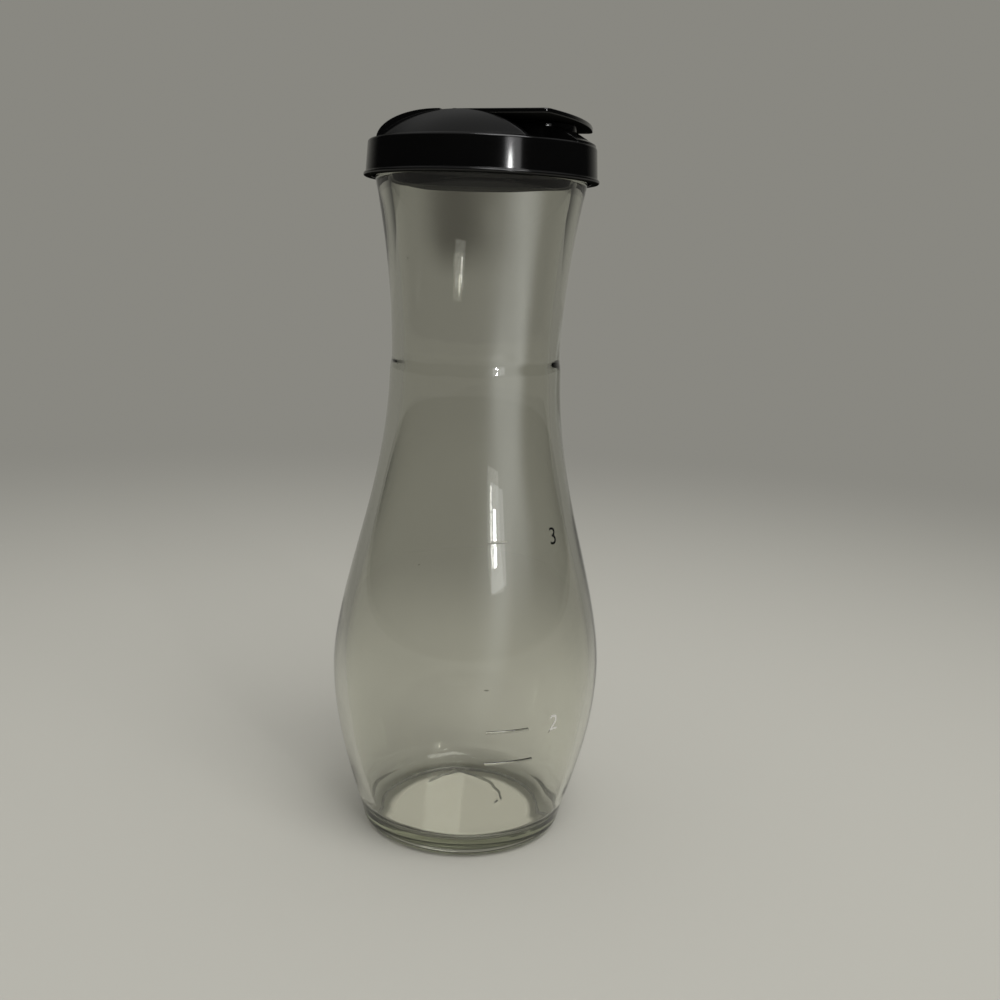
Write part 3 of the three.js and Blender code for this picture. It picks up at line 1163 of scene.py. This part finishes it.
@dataclass
class Lid:
    """Sizes that the cap and the cover share."""

    rise: float = 6.3 * MM
    cover_thickness: float = 1.25 * MM
    cover_half_width: float = 20.75 * MM
    bow: float = 3 * MM
    barrel_radius: float = 2.6 * MM
    trunnion_radius: float = 1.1 * MM
    trunnion_length: float = 1.1 * MM
    spout_x: float = 14.5 * MM
    spout_radius: float = 10 * MM
    spout_wall: float = 1.4 * MM
    open_angle: float = math.radians(105)

    def __post_init__(self) -> None:
        """Takes the top of the lid from the frame."""
        self.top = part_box("cap")[1].z
        self.deck = self.top - self.rise
        self.plate_bottom = self.top - self.cover_thickness
        self.hinge_height = self.top - self.barrel_radius
        self.spout_top = self.plate_bottom - SEAT_GAP
        self.spout_bore = self.spout_radius - self.spout_wall
        self.flank_plane = self.cover_half_width + SEAT_GAP


@dataclass
class Cap:
    """The push-on cap: skirt, rim, domed flanks, rounded heel strip, deck and pour spout."""

    wheel: Wheel
    lid: Lid
    sides: int = 224
    bead_steps: int = 12
    rim_steps: int = 8
    dome_steps: int = 28
    heel_steps: int = 32
    heel_rows: int = 24
    deck_thickness: float = 1.3 * MM
    shell_wall: float = 1.5 * MM
    skirt_wall: float = 1.6 * MM
    skirt_drop: float = 8.5 * MM
    skirt_draft: float = 0.45 * MM
    bead_radius: float = 0.55 * MM
    rim_round: float = 0.75 * MM
    collar_radius: float = 19.6 * MM
    collar_wall: float = 1.4 * MM
    collar_height: float = 4 * MM
    dome_radius: float = 22 * MM
    dome_centre: float = 11.3 * MM
    dome_drop: float = 13.55 * MM
    heel_set: float = 0.2 * MM
    heel_run: float = 16 * MM
    lip_radius: float = 29.1 * MM
    lip_run: float = 5.2 * MM
    lip_rise: float = 3.5 * MM
    lip_edge: float = 0.45 * MM
    lip_half_width: float = 9 * MM
    finish: MouldedPlastic = MouldedPlastic("cap_black")

    def __post_init__(self) -> None:
        """Builds the finish, and works out the places that follow from the sizes."""
        self.material = self.finish.material()
        self.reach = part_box("cap")[1].x * 2
        self.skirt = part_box("cap")[1].x - self.bead_radius
        self.skirt_bore = self.skirt - self.skirt_wall
        self.rim = self.skirt - self.skirt_draft
        self.rim_height = self.lid.deck - self.rim_round
        self.bead_height = self.lid.deck - self.skirt_drop
        self.deck_bottom = self.lid.deck - self.deck_thickness
        self.root = self.deck_bottom + self.deck_thickness / 4
        self.heel = self.rim - self.heel_set
        self.heel_reach = math.sqrt(self.heel**2 - self.lid.flank_plane**2)
        self.collar_bore = self.collar_radius - self.collar_wall
        self.dome_foot = self.dome_centre + math.sqrt(self.dome_radius**2 - self.dome_drop**2)

    def turned(self, outline: Sequence[Point]) -> Solid:
        """Turns one solid of the cap."""
        return self.wheel.turn("part", outline, self.sides, self.material)

    def shell(self) -> Solid:
        """Turns the skirt with its bead, the rim, the deck and the collar.

        Returns:
            The shell.
        """
        collar_bottom = self.deck_bottom - self.collar_height
        middle, up = (self.skirt, self.bead_height), math.pi / 2
        bead = arc(middle, self.bead_radius, -up, up, self.bead_steps)
        rim = quarter((self.rim, self.rim_height), (self.dome_foot, self.lid.deck), False, self.rim_steps)
        return self.turned(
            [
                (0.0, self.deck_bottom),
                (self.collar_bore, self.deck_bottom),
                (self.collar_bore, collar_bottom),
                (self.collar_radius, collar_bottom),
                (self.collar_radius, self.deck_bottom),
                (self.skirt_bore, self.deck_bottom),
                (self.skirt_bore, self.bead_height - self.bead_radius),
                *bead,
                *rim,
                (0.0, self.lid.deck),
            ]
        )

    def dome(self, inset: float, bottom: float) -> Solid:
        """Turns the dome that the flanks are cut from, or the room inside it.

        Args:
            inset: How far its face lies inside the dome's own.
            bottom: The height of its flat bottom.

        Returns:
            The solid.
        """
        radius = self.dome_radius - inset
        foot = math.asin((self.dome_drop - self.deck_thickness / 2) / radius)
        top = math.acos((self.lid.flank_plane - self.dome_centre) / radius)
        centre = (self.dome_centre, self.lid.deck - self.dome_drop)
        face = arc(centre, radius, foot, top, self.dome_steps)
        return self.turned([(0.0, bottom), (face[0][0], bottom), *face, (0.0, face[-1][1])])

    def heel_block(self, inset: float, bottom: float) -> Solid:
        """Makes the rounded heel of the middle strip, bowed backwards in plan, or the room inside it.

        Args:
            inset: How far the faces lie inside the heel's own.
            bottom: The height of its flat bottom.

        Returns:
            The solid, which reaches past the hinge.
        """
        bow, top = self.lid.bow, self.lid.top - inset
        half_width = self.lid.flank_plane - inset
        back = inset - self.heel_reach
        crest = (self.heel_run - self.heel_reach, top)
        curve = quarter((back, self.rim_height), crest, False, self.heel_steps)
        side = [(bow, bottom), (back, bottom), *curve, (bow, top)]
        rings = []
        for row in range(self.heel_rows + 1):
            across = half_width * (2 * row / self.heel_rows - 1)
            shift = bow * (1 - (across / self.lid.flank_plane) ** 2)
            rings.append([(x - shift, across, z) for x, z in side])
        return ruled(rings, "heel")

    def strip(self, half_width: float) -> Solid:
        """Makes the block that parts the two flanks."""
        return block((-self.reach, -half_width, 0.0), (self.reach, half_width, self.lid.top + OVERRUN))

    def rear(self, inset: float) -> Solid:
        """Makes the block behind the hinge, whose front face leans back as far as the open cover.

        Args:
            inset: How far its front face lies inside the strip's.

        Returns:
            The block.
        """
        lean = self.lid.open_angle - math.pi / 2
        offset = self.lid.barrel_radius + SEAT_GAP + inset
        knee = self.lid.hinge_height - offset * math.sin(lean)
        top = self.lid.top + OVERRUN

        def face(height: float) -> float:
            """Gives the front face's place at a height."""
            return -(offset + (height - self.lid.hinge_height) * math.sin(lean)) / math.cos(lean)

        front = [(face(knee), 0.0), (face(knee), knee), (face(top), top)]
        side = [*front, (-self.reach, top), (-self.reach, 0.0)]
        return ruled([[(x, y, z) for x, z in side] for y in (-self.reach, self.reach)], "rear")

    def pour_lip(self) -> Solid:
        """Makes the sloping lip in front of the spout.

        Returns:
            The solid.
        """
        deck, crest = self.lid.deck, self.lid.deck + self.lip_rise
        slope = self.turned(
            [
                (0.0, self.root),
                (self.heel, self.root),
                (self.heel, self.rim_height),
                (self.lip_radius, deck + self.lip_edge),
                (self.lip_radius - self.lip_run, crest),
                (0.0, crest),
            ]
        )
        half = self.lip_half_width
        width = block((self.lid.spout_x, -half, 0.0), (self.reach, half, self.lid.top))
        return combined(slope, keep=[width])

    def collar(self) -> Solid:
        """Makes the collar's own room, which the rear pocket stays out of.

        Returns:
            The ring.
        """
        top = self.lid.top
        ring = plug(self.collar_radius, 0.0, top, sides=self.sides)
        return combined(ring, cut=[plug(self.collar_bore, -OVERRUN, top + OVERRUN, sides=self.sides)])

    def build(self) -> None:
        """Joins and cuts the solids of the cap and hands it over."""
        lid, wall = self.lid, self.shell_wall
        pocket = self.deck_bottom - OVERRUN
        socket = lid.trunnion_radius + SEAT_GAP
        clear_of_collar = plug(self.collar_bore - SEAT_GAP, pocket, lid.spout_top, sides=self.sides)
        flank_pockets = combined(
            self.dome(wall, pocket),
            cut=[self.strip(lid.flank_plane + wall), cross_bar(socket + wall, self.reach, lid.hinge_height)],
        )
        cap = combined(
            self.shell(),
            add=[
                combined(self.dome(0.0, self.root), cut=[self.strip(lid.flank_plane)]),
                combined(self.heel_block(0.0, self.root), keep=[self.rear(0.0)]),
                plug(lid.spout_radius, self.root, lid.spout_top, lid.spout_x),
                self.pour_lip(),
            ],
            cut=[
                flank_pockets,
                combined(self.heel_block(wall, pocket), keep=[self.rear(wall)], cut=[self.collar()]),
                cross_bar(socket, lid.flank_plane + lid.trunnion_length, lid.hinge_height),
                plug(lid.spout_bore, lid.deck, lid.spout_top + OVERRUN, lid.spout_x),
                combined(plug(lid.spout_bore, pocket, lid.spout_top, lid.spout_x), keep=[clear_of_collar]),
            ],
        )
        hand_over(cap, "cap", Body.CAP, self.material)


@dataclass
class FlipCover:
    """The cover plate with its hinge barrel, trunnions and plug ring."""

    lid: Lid
    corner_radius: float = 2 * MM
    corner_steps: int = 10
    bow_steps: int = 40
    ring_wall: float = 1 * MM
    ring_dip: float = 1.6 * MM
    edge_round: float = 0.3 * MM
    edge_steps: int = 4
    edge_angle: float = math.radians(60)
    finish: MouldedPlastic = MouldedPlastic("cover_black")

    def plan(self) -> Outline:
        """Lists the plate's outline: straight sides and a bowed front edge with round corners.

        Returns:
            The points, along X and Y.
        """
        half, corner, count = self.lid.cover_half_width, self.corner_radius, self.corner_steps
        corner_y = half - corner
        bow_radius = (half**2 + self.lid.bow**2) / (2 * self.lid.bow)
        bow_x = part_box("flip_cover")[1].x - bow_radius
        turn = math.asin(corner_y / (bow_radius - corner))
        corner_x = bow_x + (bow_radius - corner) * math.cos(turn)
        return [
            (0.0, -half),
            *arc((corner_x, -corner_y), corner, -math.pi / 2, -turn, count),
            *arc((bow_x, 0.0), bow_radius, -turn, turn, self.bow_steps)[1:-1],
            *arc((corner_x, corner_y), corner, turn, math.pi / 2, count),
            (0.0, half),
        ]

    def plate(self) -> Solid:
        """Makes the plate with its rounded edges.

        Returns:
            The plate.
        """
        ends = (self.lid.plate_bottom, self.lid.top)
        plate = ruled([[(x, y, z) for x, y in self.plan()] for z in ends], "plate")
        bevel = plate.modifiers.new("edges", "BEVEL")
        bevel.width = self.edge_round
        bevel.segments = self.edge_steps
        bevel.limit_method = "ANGLE"
        bevel.angle_limit = self.edge_angle
        return settled(plate)

    def build(self) -> None:
        """Builds the plate, adds its hinge and plug ring, and hands it over."""
        lid = self.lid
        half = lid.cover_half_width
        outer = lid.spout_bore - SEAT_GAP
        bottom, middle = lid.spout_top - self.ring_dip, lid.plate_bottom + lid.cover_thickness / 2
        bore = plug(outer - self.ring_wall, bottom - OVERRUN, lid.plate_bottom, lid.spout_x)
        cover = combined(
            self.plate(),
            add=[
                combined(plug(outer, bottom, middle, lid.spout_x), cut=[bore]),
                cross_bar(lid.barrel_radius, half, lid.hinge_height),
                cross_bar(lid.trunnion_radius, half + lid.trunnion_length, lid.hinge_height),
            ],
        )
        hand_over(cover, "flip_cover", Body.COVER, self.finish.material())


@dataclass(frozen=True)
class Lamp:
    """One soft lamp that faces the middle of the cruet. Its azimuth runs from -Y towards +X."""

    name: str
    azimuth: float
    height: float
    distance: float
    width: float
    tallness: float
    watts: float
    aim: Place = (0, 0, 0.1)

    def hang(self) -> None:
        """Puts the lamp into the scene."""
        data = bpy.data.lights.new(self.name, "AREA")
        data.shape = "RECTANGLE"
        data.size, data.size_y = self.width, self.tallness
        data.energy = self.watts
        lamp = linked(self.name, data)
        across, ahead = math.sin(self.azimuth), -math.cos(self.azimuth)
        lamp.location = (self.distance * across, self.distance * ahead, self.height)
        lamp.rotation_euler = (Vector(self.aim) - lamp.location).to_track_quat("-Z", "Y").to_euler()


@dataclass
class Studio:
    """A plain pale floor that fades into a pale surround, with soft light from above and the right. What the
    glass shows behind it carries painted shadow and painted light, and the floor under it a painted pool of
    light.
    """

    floor_radius: float = 6.0
    floor_sides: int = 96
    fade: Point = (0.1, 0.7)
    # Through the glass the floor fades between these distances into the painted shadow behind the bottle.
    painted_shadow_fade: Point = (0.02, 0.32)
    floor_colour: Colour = (0.46, 0.45, 0.405, 1.0)
    backdrop: Colour = (0.25, 0.245, 0.22, 1.0)
    # Painted shadow: the surround seen through the glass, darker than the backdrop, and a darker card to one
    # side.
    surround_in_painted_shadow: Colour = (0.2, 0.196, 0.175, 1.0)
    painted_shadow_card: Colour = (0.075, 0.072, 0.062, 1.0)
    shadow_card_side: float = -0.045
    shadow_card_width: float = 0.08
    shadow_card_fade: Point = (0.0, 0.05)
    # Painted light: a pale card on the surround, seen only through the glass.
    painted_light_card: Colour = (0.37, 0.37, 0.36, 1.0)
    light_card_side: float = 0.095
    light_card_width: float = 0.05
    ahead_fade: Point = (-0.5, -0.9)
    near_fade: Point = (-1.0, -0.55)
    ceiling_fade: Point = (0.45, 0.85)
    ceiling: Colour = (0.28, 0.28, 0.275, 1.0)
    shade: Colour = (0.006, 0.006, 0.006, 1.0)
    sky_light: Colour = (0.64, 0.64, 0.635, 1.0)
    # Painted light: the colour that the floor under the glass glows with, seen through the glass.
    painted_light_under_glass: Colour = (0.45, 0.435, 0.38, 1.0)
    painted_light_radius: float = 21 * MM
    painted_light_edge_share: float = 0.9
    viewer: Place = (0.342, -0.94, 0.0)
    rightward: Place = (0.94, 0.342, 0.0)
    lamps: tuple[Lamp, ...] = (
        Lamp("key", math.radians(49), 1.25, 0.7, 0.85, 0.85, 9.5),
        Lamp("window", math.radians(46.5), 0.385, 1.1, 0.05, 0.1, 1.1),
        Lamp("glow", math.radians(49.5), 0.47, 1.3, 0.34, 0.26, 0.55),
    )

    def behind(self, shop: NodeShop, way: Value) -> Value:
        """Gives what glass shows straight behind it: a surround darkened as painted shadow, with a soft dark
        card of painted shadow and a soft pale card of painted light.

        Args:
            shop: The maker of the tree's nodes.
            way: The direction that is looked in.

        Returns:
            The colour.
        """
        ahead = shop.vector("DOT_PRODUCT", way, self.viewer).eased(*self.ahead_fade)
        side = shop.vector("DOT_PRODUCT", way, self.rightward)
        above = ahead * way.part(2).eased(*self.shadow_card_fade)
        # Masks for the painted light card and the painted shadow card.
        pale = ahead * shop.bell((side - self.light_card_side) / self.light_card_width)
        dark = above * shop.bell((side - self.shadow_card_side) / self.shadow_card_width)
        return shop.mix(dark, shop.mix(pale, self.surround_in_painted_shadow, self.painted_light_card), self.painted_shadow_card)

    def seen(self, shop: NodeShop, *kinds: str) -> Value:
        """Gives 1 for what rays of these kinds show, and 0 for what only lights.

        Args:
            shop: The maker of the tree's nodes.
            kinds: The kinds of ray, such as Camera.

        Returns:
            The share.
        """
        paths = [shop.node("ShaderNodeLightPath", output=f"Is {kind} Ray") for kind in kinds]
        bounced = shop.node("ShaderNodeLightPath", output="Diffuse Depth")
        return sum(paths[1:], paths[0]).clamped() * (1 - bounced).clamped()

    def floor(self) -> None:
        """Lays the floor, which turns into the backdrop's own colour far away; through the glass it fades
        sooner into painted shadow, and a disc beneath the glass glows as a painted pool of light.
        """
        worked = bmesh.new()
        bmesh.ops.create_circle(worked, cap_ends=True, segments=self.floor_sides, radius=self.floor_radius)
        floor = object_from(worked, "floor")
        material, shop = new_material("pale_floor")
        place = shop.node("ShaderNodeTexCoord", output="Object")
        distance = shop.vector("LENGTH", place)
        through = self.seen(shop, "Transmission")
        # Painted pool of light under the glass, within the given radius.
        foot = distance.eased(self.painted_light_radius, self.painted_light_radius * self.painted_light_edge_share)
        layers = (
            (self.backdrop, distance.eased(*self.fade) * self.seen(shop, "Camera", "Glossy")),
            # Through the glass the floor fades into the painted shadow of the surround.
            (self.behind(shop, shop.vector("NORMALIZE", place)), distance.eased(*self.painted_shadow_fade) * through),
            (self.painted_light_under_glass, foot * through),
        )
        surface = shop.node("ShaderNodeBsdfDiffuse", inputs={"Color": self.floor_colour})
        for colour, share in layers:
            shown = shop.node("ShaderNodeEmission", inputs={"Color": colour})
            surface = shop.node("ShaderNodeMixShader", inputs={0: share, 1: surface, 2: shown})
        shop.end(surface)
        floor.data.materials.append(material)
        floor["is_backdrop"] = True

    def world(self) -> None:
        """Lights the surround: pale behind, dark on the photographer's side, bright overhead."""
        world = bpy.data.worlds.new("surround")
        bpy.context.scene.world = world
        world.use_nodes = True
        shop = NodeShop(world.node_tree)
        way = shop.node("ShaderNodeTexCoord", output="Generated")
        nearness = shop.vector("DOT_PRODUCT", way, self.viewer)
        mirrored = shop.node("ShaderNodeLightPath", output="Glossy Depth")
        straight = self.seen(shop, "Transmission") * (1 - mirrored).clamped()
        sides = shop.mix(nearness.eased(*self.near_fade), self.backdrop, self.shade)
        # Straight rays through the glass see the surround with its painted shadow and painted light.
        level = shop.mix(straight, sides, self.behind(shop, way))
        colour = shop.mix(way.part(2).eased(*self.ceiling_fade), level, self.ceiling)
        plain = shop.mix(self.seen(shop, "Camera"), colour, self.backdrop)
        shown = shop.mix(self.seen(shop, "Camera", "Glossy", "Transmission"), self.sky_light, plain)
        light = shop.node("ShaderNodeBackground", inputs={"Color": shown, "Strength": 1.0})
        shop.node("ShaderNodeOutputWorld", inputs={"Surface": light})

    def build(self) -> None:
        """Sets up the floor, the surround and the lamps."""
        self.floor()
        self.world()
        for lamp in self.lamps:
            lamp.hang()
        LOG.info("studio ready")


@dataclass
class Camera:
    """The photograph's viewpoint, as a place and three turns about it."""

    azimuth: float = math.radians(20)
    distance: float = 308.7 * MM
    height: float = 154.9 * MM
    pitch: float = math.radians(11.495)
    yaw: float = math.radians(1.471)
    roll: float = math.radians(2.2)
    focal_share: float = 1.1499
    film: float = 36.0
    nearest: float = 10 * MM

    def build(self) -> None:
        """Places the camera and makes it the scene's own."""
        data = bpy.data.cameras.new("photo")
        data.sensor_width = self.film
        data.lens = self.film * self.focal_share
        data.clip_start = self.nearest
        run, drop = math.cos(self.pitch), math.sin(self.pitch)
        ahead = Vector((math.sin(self.yaw) * run, math.cos(self.yaw) * run, -drop))
        level = Vector((math.cos(self.yaw), -math.sin(self.yaw), 0.0))
        upward = level.cross(ahead)
        right = math.cos(self.roll) * level + math.sin(self.roll) * upward
        top = -math.sin(self.roll) * level + math.cos(self.roll) * upward
        turn = Matrix((right, top, -ahead)).transposed().to_4x4()
        place = Matrix.Translation((0.0, -self.distance, self.height))
        camera = linked("photo", data)
        camera.matrix_world = Matrix.Rotation(self.azimuth, 4, "Z") @ place @ turn
        bpy.context.scene.camera = camera
        LOG.info("camera ready")


def keep_sizes(cad: dict) -> None:
    """Sets the CAD box beside the dressed box in a dictionary, which is not kept.

    Args:
        cad: The bounds before any piece is dressed.
    """

    def plain(bounds: object) -> object:
        """Turns vectors into lists of numbers.

        Args:
            bounds: A number, a vector, or a list or dictionary of them.

        Returns:
            The same with plain lists.
        """
        if isinstance(bounds, dict):
            return {name: plain(entry) for name, entry in bounds.items()}
        if isinstance(bounds, (int, float)):
            return bounds
        return [plain(entry) for entry in bounds]

    {"cad": plain(cad), "visual": plain(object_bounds())}


def main() -> None:
    """Builds the cruet, then the studio and the camera."""
    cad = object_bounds()
    bpy.context.scene.view_settings.view_transform = "Standard"
    wheel = Wheel()
    lid = Lid()
    for piece in (Bottle(wheel), Stopper(wheel), Cap(wheel, lid), FlipCover(lid), Studio(), Camera()):
        piece.build()
    keep_sizes(cad)


if __name__ == "__main__":
    main()
